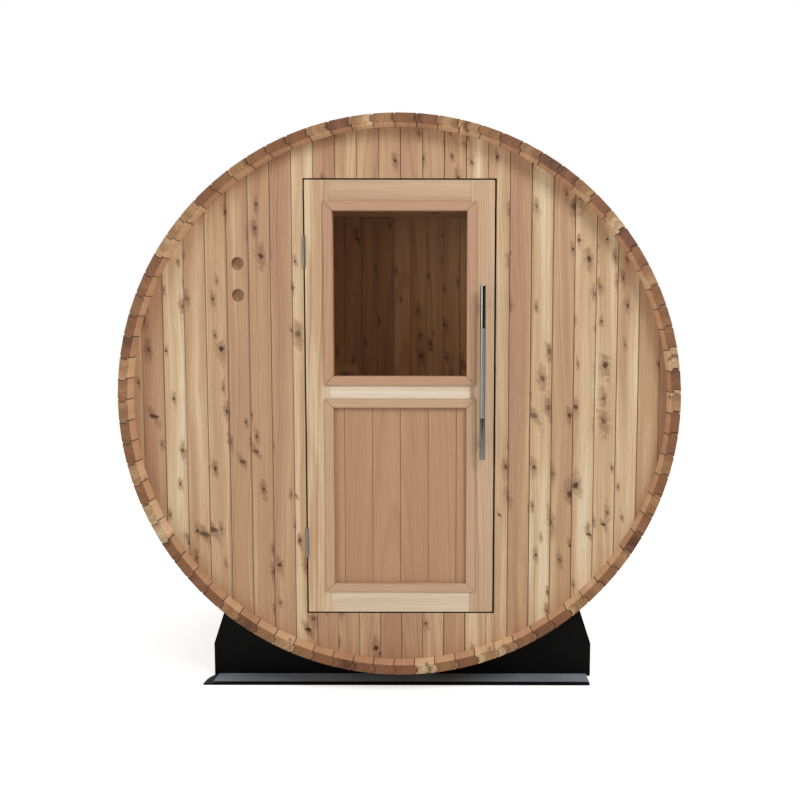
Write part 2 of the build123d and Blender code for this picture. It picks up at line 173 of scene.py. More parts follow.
    # Broad stripes of sapwood and heartwood, and fine fibres
    stripeAcross = addNode(tree, "Math", {"operation": "DIVIDE"}, pushed, wood["stripeWidth"])
    stripeAlong = addNode(tree, "Math", {"operation": "DIVIDE"}, along, grain["stripeLength"])
    stripePlace = addNode(tree, "CombineXYZ", None, stripeAcross, stripeAlong, shifted)
    stripes = addNode(tree, "TexNoise", None, Vector=stripePlace, Scale=1.0, Detail=3.0, Roughness=0.55)
    fibreAcross = addNode(tree, "Math", {"operation": "DIVIDE"}, bent, grain["fibreWidth"])
    fibreAlong = addNode(tree, "Math", {"operation": "DIVIDE"}, along, grain["fibreLength"])
    fibreDepth = addNode(tree, "Math", {"operation": "DIVIDE"}, depth, grain["fibreWidth"])
    fibrePlace = addNode(tree, "CombineXYZ", None, fibreAcross, fibreAlong, fibreDepth)
    fibres = addNode(tree, "TexNoise", None, Vector=fibrePlace, Scale=1.0, Detail=3.0, Roughness=0.6)

    centred = addNode(tree, "Math", {"operation": "SUBTRACT"}, stripes, 0.5)
    lowest = 0.5 - wood["boardSpread"] / 2
    toned = addNode(tree, "Math", {"operation": "MULTIPLY_ADD"}, dice.outputs[2], wood["boardSpread"], lowest)
    tonePlace = addNode(tree, "Math", {"operation": "MULTIPLY_ADD"}, centred, wood["stripeSpread"], toned)
    tone = addNode(tree, "ValToRGB", {"stops": wood["tones"]}, tonePlace)
    endTone = addNode(tree, "ValToRGB", {"stops": wood["endTones"]}, tonePlace)
    based = addNode(tree, "MixRGB", None, endways, tone, endTone)
    lateShare = addNode(tree, "MapRange", None, endways, 0.0, 1.0, wood["ringShare"], wood["endRingShare"])
    lateAmount = addNode(tree, "Math", {"operation": "MULTIPLY"}, lateWood, lateShare)
    lateTone = addNode(tree, "MixRGB", None, endways, linear(wood["late"]), linear(wood["endLate"]))
    ringed = addNode(tree, "MixRGB", {"blend_type": "MULTIPLY"}, lateAmount, based, lateTone)
    fibreAmount = addNode(tree, "MapRange", None, fibres, 0.35, 0.75, 0.0, wood["fibreShare"])
    fibred = addNode(tree, "MixRGB", {"blend_type": "MULTIPLY"}, fibreAmount, ringed, linear(wood["late"]))
    haloAmount = addNode(tree, "Math", {"operation": "MULTIPLY"}, swirlHere, 0.5)
    haloed = addNode(tree, "MixRGB", {"blend_type": "MULTIPLY"}, haloAmount, fibred, linear(wood["halo"]))
    knotted = addNode(tree, "MixRGB", None, knotHere, haloed, linear(wood["knot"]))
    tree.links.new(knotted.outputs[0], shader.inputs["Base Color"])

    rough = addNode(tree, "MapRange", None, fibres, 0.3, 0.8, *grain["roughness"])
    tree.links.new(rough.outputs[0], shader.inputs["Roughness"])
    shader.inputs["IOR"].default_value = grain["ior"]
    raised = addNode(tree, "Math", {"operation": "MULTIPLY_ADD"}, lateWood, 0.5, fibres)
    bump = addNode(tree, "Bump", None, Strength=0.35, Distance=grain["relief"], Height=raised)
    tree.links.new(bump.outputs[0], shader.inputs["Normal"])
    return knotted


# Cedar planed by machine: soft stripes from cream sapwood to pink heartwood, a low sheen and small dark knots
wallWood = {
    "name": "planedCedarBoards", "seed": 3.0, "pitch": 71.2 * mm, "phase": 3.0 * mm, "grain": "z",
    "tones": [(0.0, "#E3CFAD"), (0.25, "#D2B58F"), (0.5, "#C29E78"), (0.75, "#B89170"), (1.0, "#B0876A")],
    "endTones": [(0.0, "#C0A078"), (1.0, "#8F6844")],
    # The joint colour is painted shade in the seams between boards
    "late": "#B08A66", "endLate": "#6E4526", "halo": "#93643C", "knot": "#42291A", "joint": "#5E4028",
    "wander": 0.05, "heart": 0.07, "ringWidth": 5 * mm,
    "stripeWidth": 38.46 * mm, "boardSpread": 0.55, "stripeSpread": 1.6,
    "ringShare": 0.3, "endRingShare": 0.6, "fibreShare": 0.3,
    # Spacing, widening, slant, share of cells, smallest radius and spread, in metres
    "knots": [(0.095, 0.8, 0.1, 0.55, 3.8 * mm, 7 * mm), (0.13, 1.9, 0.5, 0.3, 2.8 * mm, 6 * mm)],
}


def plankMaterial(wood, mitre=None):
    material, tree, shader = newMaterial(wood["name"])
    place = addNode(tree, "TexCoord")
    xyz = addNode(tree, "SeparateXYZ", None, place.outputs["Object"])
    facing = addNode(tree, "SeparateXYZ", None, place.outputs["Normal"])
    x, y, z = xyz.outputs
    if mitre:
        # Round a frame the grain turns at the mitres
        low, high = mitre
        fromMiddleX = addNode(tree, "Math", {"operation": "SUBTRACT"}, x, (low.x + high.x) / 2)
        fromMiddleZ = addNode(tree, "Math", {"operation": "SUBTRACT"}, z, (low.z + high.z) / 2)
        outX = addNode(tree, "Math", {"operation": "ABSOLUTE"}, fromMiddleX)
        outZ = addNode(tree, "Math", {"operation": "ABSOLUTE"}, fromMiddleZ)
        overX = addNode(tree, "Math", {"operation": "SUBTRACT"}, outX, (high.x - low.x) / 2)
        overZ = addNode(tree, "Math", {"operation": "SUBTRACT"}, outZ, (high.z - low.z) / 2)
        lying = addNode(tree, "Math", {"operation": "GREATER_THAN"}, overZ, overX)
        across = addNode(tree, "MixRGB", None, lying, x, z)
        along = addNode(tree, "MixRGB", None, lying, z, x)
        sideX = addNode(tree, "Math", {"operation": "SIGN"}, fromMiddleX)
        sideZ = addNode(tree, "Math", {"operation": "SIGN"}, fromMiddleZ)
        side = addNode(tree, "MixRGB", None, lying, sideX, sideZ)
        board = addNode(tree, "Math", {"operation": "MULTIPLY_ADD"}, lying, 5.0, side)
        endways = addNode(tree, "Math", {"operation": "MULTIPLY"}, lying, 0.0)
    else:
        upright = wood["grain"] == "z"
        across, along, alongFacing = (x, z, facing.outputs[2]) if upright else (z, x, facing.outputs[0])
        fromSeam = addNode(tree, "Math", {"operation": "SUBTRACT"}, across, wood["phase"])
        pitched = addNode(tree, "Math", {"operation": "DIVIDE"}, fromSeam, wood["pitch"])
        board = addNode(tree, "Math", {"operation": "FLOOR"}, pitched)
        square = addNode(tree, "Math", {"operation": "ABSOLUTE"}, alongFacing)
        endways = addNode(tree, "Math", {"operation": "GREATER_THAN"}, square, 0.7)
    sawn = sawnWood(tree, shader, across, along, y, board, endways, wood)
    if not mitre:
        # Painted shade in the joint between two boards, some joints tighter than others
        nearestSeam = addNode(tree, "Math", {"operation": "ROUND"}, pitched)
        seamDice = addNode(tree, "TexWhiteNoise", {"noise_dimensions": "1D"}, W=nearestSeam)
        seamShare = addNode(tree, "MapRange", None, seamDice.outputs["Value"], 0.0, 1.0, 0.4, 0.95)
        nearSeam = addNode(tree, "Math", {"operation": "PINGPONG"}, fromSeam, wood["pitch"] / 2)
        smooth = {"interpolation_type": "SMOOTHSTEP"}
        shade = addNode(tree, "MapRange", smooth, nearSeam, 0.5 * mm, 2.0 * mm, 1.0, 0.0)
        seam = addNode(tree, "Math", {"operation": "MULTIPLY"}, shade, seamShare)
        seamed = addNode(tree, "MixRGB", {"blend_type": "MULTIPLY"}, seam, sawn, linear(wood["joint"]))
        if "outerLift" in wood:
            # The outer face is lifted out of the painted shade given to the inside
            outerFace = addNode(tree, "Math", {"operation": "GREATER_THAN"}, facing.outputs[1], 0.5)
            seamed = addNode(
                tree, "HueSaturation", None, Saturation=0.85, Value=wood["outerLift"], Fac=outerFace, Color=seamed,
            )
        tree.links.new(seamed.outputs[0], shader.inputs["Base Color"])
    return material


# The door is sawn from clear cedar: straight even grain and no knots, so it looks smoother than the wall
noKnots = [(0.1, 1.0, 0.0, 0.0, 1 * mm, 1 * mm)] * 2
doorWood = dict(
    wallWood, knots=noKnots, pitch=1.0, phase=0.5, wander=0.012,
    ringWidth=3.5 * mm, ringShare=0.28, fibreShare=0.25,
)
# Flat-sawn stile: wide rings that break out as tall arches, half cream and half pink
stileWood = dict(
    doorWood, name="planedCedarStile", seed=11.0,
    stripeWidth=83.33 * mm, boardSpread=0.1, stripeSpread=2.0,
    wander=0.035, heart=0.02, ringWidth=5 * mm, ringShare=0.42,
    tones=[(0.0, "#E0CBAA"), (0.44, "#D9C09B"), (0.56, "#C9A682"), (1.0, "#C19B77")],
)
# The latch side's stile is a plainer length of the same
latchWood = dict(
    stileWood, name="planedCedarLatchStile", seed=23.0,
    tones=[(0.0, "#D3B695"), (0.6, "#CBAC8B"), (1.0, "#C2A07E")],
)
# Rails lie across, so their lines run level; the middle one is nearly white sapwood
railWood = dict(doorWood, seed=5.0, grain="x", stripeWidth=55.56 * mm, boardSpread=0.1)
railTones = {
    "door_rail_top": [(0.0, "#D0B794"), (0.5, "#C2A284"), (1.0, "#B39072")],
    "door_rail_middle": [(0.0, "#EFE3CE"), (0.5, "#E4D5BD"), (1.0, "#D4BC9C")],
    "door_rail_bottom": [(0.0, "#EDDFC6"), (0.5, "#DFCDB1"), (1.0, "#CCB394")],
}
# Moulded strips are pinker heartwood with close fine lines, a darker frame round glass and panel
trimWood = dict(
    doorWood, name="mouldedCedarTrim", seed=17.0,
    stripeWidth=41.67 * mm, boardSpread=0.15, stripeSpread=0.5,
    tones=[(0.0, "#C9A283"), (0.5, "#BF9778"), (1.0, "#B58B6B")],
)
panelTrimTones = [(0.0, "#CFAF92"), (0.5, "#C7A486"), (1.0, "#BD9878")]
# Quarter-sawn boards of the lower panel: reddish tan, quiet and straight
panelWood = dict(
    doorWood, name="planedCedarPanel", seed=31.0, pitch=93 * mm, phase=0.0, joint="#C09A78",
    stripeWidth=45.45 * mm, boardSpread=0.35, stripeSpread=0.8,
    heart=0.2, wander=0.006, ringShare=0.18, ringWidth=4 * mm,
    tones=[(0.0, "#C29C78"), (0.5, "#B68E6A"), (1.0, "#AB815D")],
)
# Inside, the wood is painted a deep honey brown as painted shade of the dim room behind the glass; the outer face
# of the same boards is lifted paler
shadedInsideWood = dict(
    wallWood, name="planedCedarInside", seed=41.0, boardSpread=0.8, outerLift=1.4,
    tones=[(0.0, "#C49A6A"), (0.5, "#A87A4B"), (1.0, "#93633C")],
    knots=[(0.105, 0.8, 0.1, 0.42, 4.2 * mm, 8 * mm), (0.15, 1.8, 0.5, 0.25, 2.8 * mm, 6 * mm)],
)

# Staves: tan on their milled faces, rusty brown on the sawn ends where the rings show as arcs
staveWood = dict(
    wallWood, name="sawnCedarStave", seed=53.0, heart=0.045, ringWidth=3.4 * mm,
    boardSpread=0.85, stripeSpread=0.9,
    tones=[(0.0, "#CFB08A"), (0.5, "#BE9670"), (1.0, "#AA825E")],
    endTones=[
        (0.0, "#D2B58C"), (0.14, "#B78F63"), (0.3, "#A0754A"),
        (0.6, "#8E5F38"), (0.8, "#8F5D3C"), (1.0, "#623C20"),
    ],
    # The joint colours are painted shade in the joints between staves
    endRingShare=0.85, stripeWidth=33.33 * mm, joint="#3A2415", openJointShade="#2E1C10",
)


# The milled edge, measured inwards from the outer face, and the painted light on the inside of the overhang
bead = {"middle": 14.5 * mm, "half": 11 * mm, "rise": 9 * mm, "most": 8.4 * mm, "above": 8 * mm}
overhangPaintedLight = {"from": 543 * mm, "skin": 1 * mm, "hue": 0.497, "saturation": 0.95, "value": 1.48}


def staveMaterial(wood):
    material, tree, shader = newMaterial(wood["name"])
    place = addNode(tree, "TexCoord")
    xyz = addNode(tree, "SeparateXYZ", None, place.outputs["Object"])
    facing = addNode(tree, "SeparateXYZ", None, place.outputs["Normal"])
    up = addNode(tree, "Math", {"operation": "SUBTRACT"}, axisHeight, xyz.outputs[2])
    # Turn from the lowest point to the right, and the stave that it falls on
    turn = addNode(tree, "Math", {"operation": "ARCTAN2"}, xyz.outputs[0], up)
    pitch = 2 * math.pi / barrel["staves"]
    fromJoint = addNode(tree, "Math", {"operation": "SUBTRACT"}, turn, math.radians(barrel["turn"]))
    count = addNode(tree, "Math", {"operation": "DIVIDE"}, fromJoint, pitch)
    wrapped = addNode(tree, "Math", {"operation": "WRAP"}, count, float(barrel["staves"]), 0.0)
    flatOut = addNode(tree, "CombineXYZ", None, xyz.outputs[0], up, 0.0)
    outward = addNode(tree, "VectorMath", {"operation": "LENGTH"}, flatOut)
    reach = outward.outputs["Value"]
    # The bead belongs to the stave before it, so there the joint runs on by the bead's rise
    width = barrel["radius"] * pitch
    beadMiddle = barrel["radius"] - bead["middle"]
    fromBead = addNode(tree, "Math", {"operation": "SUBTRACT"}, reach, beadMiddle)
    beadPart = addNode(tree, "Math", {"operation": "DIVIDE"}, fromBead, bead["half"])
    beadSquare = addNode(tree, "Math", {"operation": "MULTIPLY"}, beadPart, beadPart)
    beadDrop = addNode(tree, "Math", {"operation": "MULTIPLY_ADD"}, beadSquare, -bead["rise"], bead["rise"])
    beadLong = addNode(tree, "Math", {"operation": "MULTIPLY"}, beadDrop, 2.0)
    beadMost = addNode(tree, "Math", {"operation": "MINIMUM"}, beadLong, bead["most"])
    beadOver = addNode(tree, "Math", {"operation": "MAXIMUM"}, beadMost, 0.0)
    beadTurn = addNode(tree, "Math", {"operation": "DIVIDE"}, beadOver, width)
    staveCount = addNode(tree, "Math", {"operation": "SUBTRACT"}, wrapped, beadTurn)
    board = addNode(tree, "Math", {"operation": "FLOOR"}, staveCount)
    part = addNode(tree, "Math", {"operation": "SUBTRACT"}, staveCount, board)
    across = addNode(tree, "Math", {"operation": "MULTIPLY"}, part, width)
    depth = addNode(tree, "Math", {"operation": "SUBTRACT"}, reach, barrel["radius"] - barrel["thickness"])
    square = addNode(tree, "Math", {"operation": "ABSOLUTE"}, facing.outputs[1])
    endways = addNode(tree, "Math", {"operation": "GREATER_THAN"}, square, 0.7)
    sawn = sawnWood(tree, shader, across, xyz.outputs[1], depth, board, endways, wood)
    # Painted light: the inner faces of the overhang, in front of the wall, are painted paler
    outThere = addNode(tree, "Math", {"operation": "ABSOLUTE"}, xyz.outputs[1])
    overhung = addNode(tree, "MapRange", None, outThere, overhangPaintedLight["from"], overhangPaintedLight["from"] + 2 * mm, 0.0, 1.0)
    innerFace = addNode(tree, "MapRange", None, depth, overhangPaintedLight["skin"], 2 * overhangPaintedLight["skin"], 1.0, 0.0)
    paintedLightHere = addNode(tree, "Math", {"operation": "MULTIPLY"}, overhung, innerFace)
    sawn = addNode(
        tree, "HueSaturation", None, Hue=overhangPaintedLight["hue"], Saturation=overhangPaintedLight["saturation"],
        Value=overhangPaintedLight["value"], Fac=paintedLightHere, Color=sawn,
    )
    # Painted shade in the joint between two staves, and darker painted shade in the open inner part of the joint
    nearJoint = addNode(tree, "Math", {"operation": "PINGPONG"}, across, width / 2)
    smooth = {"interpolation_type": "SMOOTHSTEP"}
    joint = addNode(tree, "MapRange", smooth, nearJoint, 0.7 * mm, 2.4 * mm, 0.9, 0.0)
    darkened = addNode(tree, "MixRGB", {"blend_type": "MULTIPLY"}, joint, sawn, linear(wood["joint"]))
    openJointShade = addNode(tree, "MapRange", smooth, nearJoint, 0.7 * mm, 1.6 * mm, 1.0, 0.0)
    innerPart = addNode(tree, "MapRange", None, depth, bead["above"], bead["above"] + 2 * mm, 1.0, 0.0)
    openHere = addNode(tree, "Math", {"operation": "MULTIPLY"}, openJointShade, innerPart)
    opened = addNode(tree, "MixRGB", None, openHere, darkened, linear(wood["openJointShade"]))
    tree.links.new(opened.outputs[0], shader.inputs["Base Color"])
    return material


def metalMaterial(name, colour, roughness, lineWidth, lineDepth, stretch=(1.0, 1.0, 1.0)):
    material, tree, shader = newMaterial(name)
    shader.inputs["Metallic"].default_value = 1.0
    place = addNode(tree, "TexCoord")
    stretched = addNode(tree, "Mapping", None, place.outputs["Object"], Scale=stretch)
    lines = addNode(tree, "TexNoise", None, Vector=stretched, Scale=1 / lineWidth, Detail=2.0)
    tint = addNode(tree, "MixRGB", {"blend_type": "MULTIPLY"}, lines, linear(colour), linear("#E2E2E2"))
    tree.links.new(tint.outputs[0], shader.inputs["Base Color"])
    rough = addNode(tree, "MapRange", None, lines, 0.3, 0.7, roughness * 0.85, roughness * 1.2)
    tree.links.new(rough.outputs[0], shader.inputs["Roughness"])
    bump = addNode(tree, "Bump", None, Strength=0.3, Distance=lineDepth, Height=lines)
    tree.links.new(bump.outputs[0], shader.inputs["Normal"])
    return material


# Powder coat on folded steel plate: near black with a fine orange peel, and a painted grey reflection of the sky
# on faces that look up
coating = {
    "dark": "#020202", "light": "#060606", "reflectionMottle": "#98A0A8", "gloss": 0.15, "roughness": (0.5, 0.62),
    "peel": 2.5 * mm, "peelDepth": 0.1 * mm, "cloud": 111.11 * mm,
    "lipWithoutReflection": 18 * mm, "endsWithoutReflection": 651 * mm, "soft": 6 * mm,
}
powderCoat, tree, shader = newMaterial("powderCoatedSteelBlack")
place = addNode(tree, "TexCoord")
peel = addNode(tree, "TexNoise", None, Vector=place.outputs["Object"], Scale=1 / coating["peel"], Detail=2.0)
reflectionMottle = addNode(tree, "TexNoise", None, Vector=place.outputs["Object"], Scale=1 / coating["cloud"], Detail=4.0)
coat = addNode(tree, "MixRGB", None, reflectionMottle, linear(coating["dark"]), linear(coating["light"]))
facing = addNode(tree, "SeparateXYZ", None, place.outputs["Normal"])
upFacing = addNode(tree, "MapRange", None, facing.outputs[2], 0.8, 1.0, 0.0, 1.0)
reflectionShare = addNode(tree, "MapRange", None, reflectionMottle, 0.25, 0.75, 0.75, 1.0)
reflectedUp = addNode(tree, "Math", {"operation": "MULTIPLY"}, upFacing, reflectionShare)
# The painted reflection stops short of the front lip and the ends, which stay black
spot = addNode(tree, "SeparateXYZ", None, place.outputs["Object"])
outerEdge = addNode(tree, "Math", {"operation": "ABSOLUTE"}, spot.outputs[1])
sideEdge = addNode(tree, "Math", {"operation": "ABSOLUTE"}, spot.outputs[0])
lipFrom, endFrom = abs(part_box("cradle_front")[0].y) - coating["lipWithoutReflection"], coating["endsWithoutReflection"]
lip = addNode(tree, "MapRange", None, outerEdge, lipFrom, lipFrom + coating["soft"], 1.0, 0.0)
tip = addNode(tree, "MapRange", None, sideEdge, endFrom, endFrom + 5 * mm, 1.0, 0.0)
reflectionReach = addNode(tree, "Math", {"operation": "MULTIPLY"}, lip, tip)
reflectionShown = addNode(tree, "Math", {"operation": "MULTIPLY"}, reflectedUp, reflectionReach)
reflectingCoat = addNode(tree, "MixRGB", None, reflectionShown, coat, linear(coating["reflectionMottle"]))
tree.links.new(reflectingCoat.outputs[0], shader.inputs["Base Color"])
shader.inputs["Specular IOR Level"].default_value = coating["gloss"]
peelRough = addNode(tree, "MapRange", None, reflectionMottle, 0.3, 0.7, *coating["roughness"])
tree.links.new(peelRough.outputs[0], shader.inputs["Roughness"])
peelBump = addNode(tree, "Bump", None, Strength=0.25, Distance=coating["peelDepth"], Height=peel)
tree.links.new(peelBump.outputs[0], shader.inputs["Normal"])

# Float glass with a faint brown tint: clear and glossy, with wipe marks that blur it a little
pane = {
    "tint": "#EADFD2", "shade": "#FBF6EF", "ior": 1.52,
    "wipe": (166.67 * mm, 500 * mm, 41.67 * mm), "wipeTurn": 0.5, "wipeRoughness": 0.16,
}
paneGlass, tree, shader = newMaterial("tintedFloatGlass")
shader.inputs["Base Color"].default_value = linear(pane["tint"])
shader.inputs["Transmission Weight"].default_value = 1.0
shader.inputs["IOR"].default_value = pane["ior"]
place = addNode(tree, "TexCoord")
wipeTurn, wipeScale = (0.0, pane["wipeTurn"], 0.0), tuple(1 / size for size in pane["wipe"])
wiped = addNode(tree, "Mapping", None, place.outputs["Object"], Rotation=wipeTurn, Scale=wipeScale)
smear = addNode(tree, "TexNoise", None, Vector=wiped, Scale=1.0, Detail=5.0, Roughness=0.7)
smearRough = addNode(tree, "MapRange", None, smear, 0.52, 0.75, 0.0, pane["wipeRoughness"])
tree.links.new(smearRough.outputs[0], shader.inputs["Roughness"])
# Lets the lamps' light through to the room behind, as clear glass does
lightPath = addNode(tree, "LightPath")
shadeless = addNode(tree, "BsdfTransparent", None, linear(pane["shade"]))
through = addNode(tree, "MixShader", None, lightPath.outputs["Is Shadow Ray"], shader, shadeless)
tree.links.new(through.outputs[0], tree.nodes["Material Output"].inputs[0])

# Polished chrome tube: a mirror, with only the faintest wipe marks. Its green-grey tint is a painted reflection of
# green surroundings
chrome = metalMaterial("polishedChrome", "#A9AFA6", 0.06, 20 * mm, 0.02 * mm)
# Satin stainless: brushed round the bar, so highlights spread along it. Real brushing is finer than
# 0.6 mm, which is as fine as still shows.
satinSteel = metalMaterial("brushedStainlessGrip", "#B9BAB6", 0.38, 0.6 * mm, 0.03 * mm, (0.05, 0.05, 1.0))
# Zinc plate on the hinges: dull grey with a slight cloudiness
hingeSteel = metalMaterial("zincPlatedHinge", "#9EA3A1", 0.32, 3 * mm, 0.03 * mm)
# Rolled stainless strap: its fine lines run round the barrel and draw the light out along the band
bandSteel = metalMaterial("rolledStainlessStrap", "#BDBDBB", 0.34, 1.5 * mm, 0.03 * mm, (1.0, 0.05, 1.0))
print("materials made")


# Pieces

def toMesh(work, name):
    mesh = bpy.data.meshes.new(name)
    work.to_mesh(mesh)
    work.free()
    return mesh


def addPiece(name, mesh, material, body, node=None, smooth=False):
    piece = bpy.data.objects.new(name, mesh)
    bpy.context.collection.objects.link(piece)
    mesh.materials.clear()
    mesh.materials.append(material)
    mesh.polygons.foreach_set("use_smooth", [smooth] * len(mesh.polygons))
    if smooth:
        mesh.set_sharp_from_angle(angle=math.radians(40))
    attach(piece, body)
    if node:
        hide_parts(node)
    return piece


def dress(node, material):
    # A new finish on a solid that stays as it is
    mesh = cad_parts[node].data
    mesh.materials.clear()
    mesh.materials.append(material)


def easedCopy(node, material, body, ease=1.2 * mm):
    # The same solid with its sharp arrises eased as a plane or sandpaper leaves them
    work = bmesh.new()
    work.from_mesh(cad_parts[node].data)
    bmesh.ops.remove_doubles(work, verts=work.verts, dist=0.01 * mm)
    bmesh.ops.dissolve_limit(work, angle_limit=math.radians(2), verts=work.verts, edges=work.edges)
    sharp = [e for e in work.edges if e.is_manifold and e.calc_face_angle() > math.radians(35)]
    bmesh.ops.bevel(work, geom=sharp, offset=ease, segments=2, affect="EDGES", clamp_overlap=True)
    mesh = toMesh(work, node + "_eased")
    return addPiece(node + "_wood", mesh, material, body, node)


wallBoards = {
    "pitch": wallWood["pitch"], "phase": wallWood["phase"], "ease": 1.8 * mm, "arcSteps": 5,
    "narrowest": 4 * mm, "hingeMiddle": 50 * mm, "hingeHalf": 50.3 * mm, "hingeInset": 2 * mm,
}


def arcLine(xs, radius, up):
    return [(x, up * math.sqrt(max(radius**2 - x**2, 0.0))) for x in xs]


def boardMesh(work, outline, frontY, backY):
    # One board: its outline in X and Z from the barrel's axis, from front to back
    ring = [work.verts.new((x, frontY, axisHeight + z)) for x, z in outline]
    face = work.faces.new(ring)
    moved = bmesh.ops.extrude_face_region(work, geom=[face])
    newVerts = [g for g in moved["geom"] if isinstance(g, bmesh.types.BMVert)]
    bmesh.ops.translate(work, verts=newVerts, vec=(0, backY - frontY, 0))


def longArrises(work):
    # The upright edges of the boards, at their seams
    return [
        e for e in work.edges
        if abs(e.verts[0].co.y - e.verts[1].co.y) < 1e-6 and abs(e.verts[0].co.x - e.verts[1].co.x) < 1e-6
    ]


def boards(name, node, xLow, xHigh, zLow, zHigh, material, notches=()):
    # Vertical boards between two seams, cut to the round of the barrel or to a level line
    front, back = (corner.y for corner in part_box(node))
    steps = wallBoards["arcSteps"]
    work = bmesh.new()
    least = wallBoards["narrowest"]
    seams = [wallBoards["phase"] + k * wallBoards["pitch"] for k in range(-13, 14)]
    cuts = [xLow] + [x for x in seams if xLow + least < x < xHigh - least] + [xHigh]
    for a, b in zip(cuts, cuts[1:]):
        xs = [a + (b - a) * i / steps for i in range(steps + 1)]
        top = arcLine(xs, wallRadius, 1) if zHigh is None else [(a, zHigh), (b, zHigh)]
        base = arcLine(xs, wallRadius, -1) if zLow is None else [(a, zLow), (b, zLow)]
        outline = base + top[::-1]
        if notches and b == xHigh:
            # Recesses for the hinge leaves along the jamb
            cut, half = [], wallBoards["hingeHalf"]
            for centre in sorted(notches):
                low, high, inset = centre - half, centre + half, b - wallBoards["hingeInset"]
                cut += [(b, low), (inset, low), (inset, high), (b, high)]
            outline = base + cut + top[::-1]
        boardMesh(work, outline, front, back)
    bmesh.ops.recalc_face_normals(work, faces=work.faces)
    ease = wallBoards["ease"]
    bmesh.ops.bevel(work, geom=longArrises(work), offset=ease, segments=2, affect="EDGES", clamp_overlap=True)
    mesh = toMesh(work, name)
    return addPiece(name, mesh, material, "cabin", node)


wallMaterial = plankMaterial(wallWood)
shadedInsideMaterial = plankMaterial(shadedInsideWood)
wallRadius = (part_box("rear_wall")[1].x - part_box("rear_wall")[0].x) / 2
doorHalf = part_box("front_wall_head")[1].x
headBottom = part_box("front_wall_head")[0].z - axisHeight
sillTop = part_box("front_wall_sill")[1].z - axisHeight
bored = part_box("front_wall_vent_board")
hingeLow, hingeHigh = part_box("hinges_frame_side")
hingeMiddle = wallBoards["hingeMiddle"]
hingeCentres = (hingeLow.z + hingeMiddle - axisHeight, hingeHigh.z - hingeMiddle - axisHeight)
boards("wall_boards_left", "front_wall_left", -wallRadius, bored[0].x, None, None, wallMaterial)
boards(
    "wall_boards_hinge_side", "front_wall_hinge_side", bored[1].x, -doorHalf,
    None, None, wallMaterial, hingeCentres,
)
boards("wall_boards_right", "front_wall_right", doorHalf, wallRadius, None, None, wallMaterial)
boards("wall_boards_over_door", "front_wall_head", -doorHalf, doorHalf, headBottom, None, wallMaterial)
boards("wall_boards_under_door", "front_wall_sill", -doorHalf, doorHalf, None, sillTop, wallMaterial)
boards("rear_wall_boards", "rear_wall", -wallRadius, wallRadius, None, None, shadedInsideMaterial)
print("wall boards made")

staveLook = staveMaterial(staveWood)
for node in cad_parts:
    if node.startswith("staves_"):
        dress(node, staveLook)
easedCopy("front_wall_vent_board", wallMaterial, "cabin", 1.0 * mm)
for node in ("door_stop_left", "door_stop_right", "door_stop_top", "door_stop_bottom"):
    easedCopy(node, shadedInsideMaterial, "cabin")
shadedInsideLying = plankMaterial(dict(shadedInsideWood, name="planedCedarInsideLying", grain="x", pitch=1.0, phase=0.5))
for node in ("rear_wall_batten", "rear_cleat_left", "rear_cleat_right"):
    easedCopy(node, shadedInsideLying, "cabin")

stileMaterial = plankMaterial(stileWood)
easedCopy("door_stile_hinge", stileMaterial, "door")
easedCopy("door_stile_latch", plankMaterial(latchWood), "door")
for node, tones in railTones.items():
    easedCopy(node, plankMaterial(dict(railWood, name="planedCedar_" + node, tones=tones)), "door")
for node in ("window_trim_outside", "window_trim_inside", "panel_trim_outside", "panel_trim_inside"):
    trimTones = panelTrimTones if node.startswith("panel") else trimWood["tones"]
    look = plankMaterial(dict(trimWood, name="mouldedCedar_" + node, tones=trimTones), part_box(node))
    easedCopy(node, look, "door", 1.5 * mm)


# Tongued boards of the lower panel, a little wider than those of the wall
panel = {"gap": 0.2 * mm, "ease": 0.5 * mm, "narrowest": 8 * mm}


def panelBoards():
    low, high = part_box("door_panel")
    base, top = low.z - axisHeight, high.z - axisHeight
    work = bmesh.new()
    seams = [k * panelWood["pitch"] for k in range(-6, 7)]
    least, gap = panel["narrowest"], panel["gap"]
    cuts = [low.x] + [x for x in seams if low.x + least < x < high.x - least] + [high.x]
    for left, right in zip(cuts, cuts[1:]):
        a, b = left + gap, right - gap
        boardMesh(work, [(a, base), (b, base), (b, top), (a, top)], low.y, high.y)
    bmesh.ops.recalc_face_normals(work, faces=work.faces)
    bmesh.ops.bevel(work, geom=longArrises(work), offset=panel["ease"], segments=1, affect="EDGES")
    mesh = toMesh(work, "panel_boards")
    return addPiece("panel_boards", mesh, plankMaterial(panelWood), "door", "door_panel")


panelBoards()
print("door made")

# A near-black strip fills the gap round the door as painted shade, extruded with a soft skin that takes almost no
# light.
# It is fixed to the jamb and its front lies a little behind the leaf's face.
gapShade = {
    "thickness": 3.9 * mm, "depth": 9 * mm, "behindFace": 3.5 * mm, "round": 1.4 * mm,
    "colour": "#040404", "ior": 1.52, "gloss": 0.3, "skin": 1.5 * mm,
}
gapShadeLook, tree, shader = newMaterial("paintedShadeInDoorGap")
shader.inputs["Base Color"].default_value = linear(gapShade["colour"])
shader.inputs["IOR"].default_value = gapShade["ior"]
shader.inputs["Specular IOR Level"].default_value = gapShade["gloss"]
place = addNode(tree, "TexCoord")
skin = addNode(tree, "TexNoise", None, Vector=place.outputs["Object"], Scale=1 / gapShade["skin"], Detail=2.0)
skinRough = addNode(tree, "MapRange", None, skin, 0.3, 0.7, 0.6, 0.75)
tree.links.new(skinRough.outputs[0], shader.inputs["Roughness"])
skinBump = addNode(tree, "Bump", None, Strength=0.2, Distance=0.05 * mm, Height=skin)
tree.links.new(skinBump.outputs[0], shader.inputs["Normal"])
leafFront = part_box("door_rail_top")[0].y
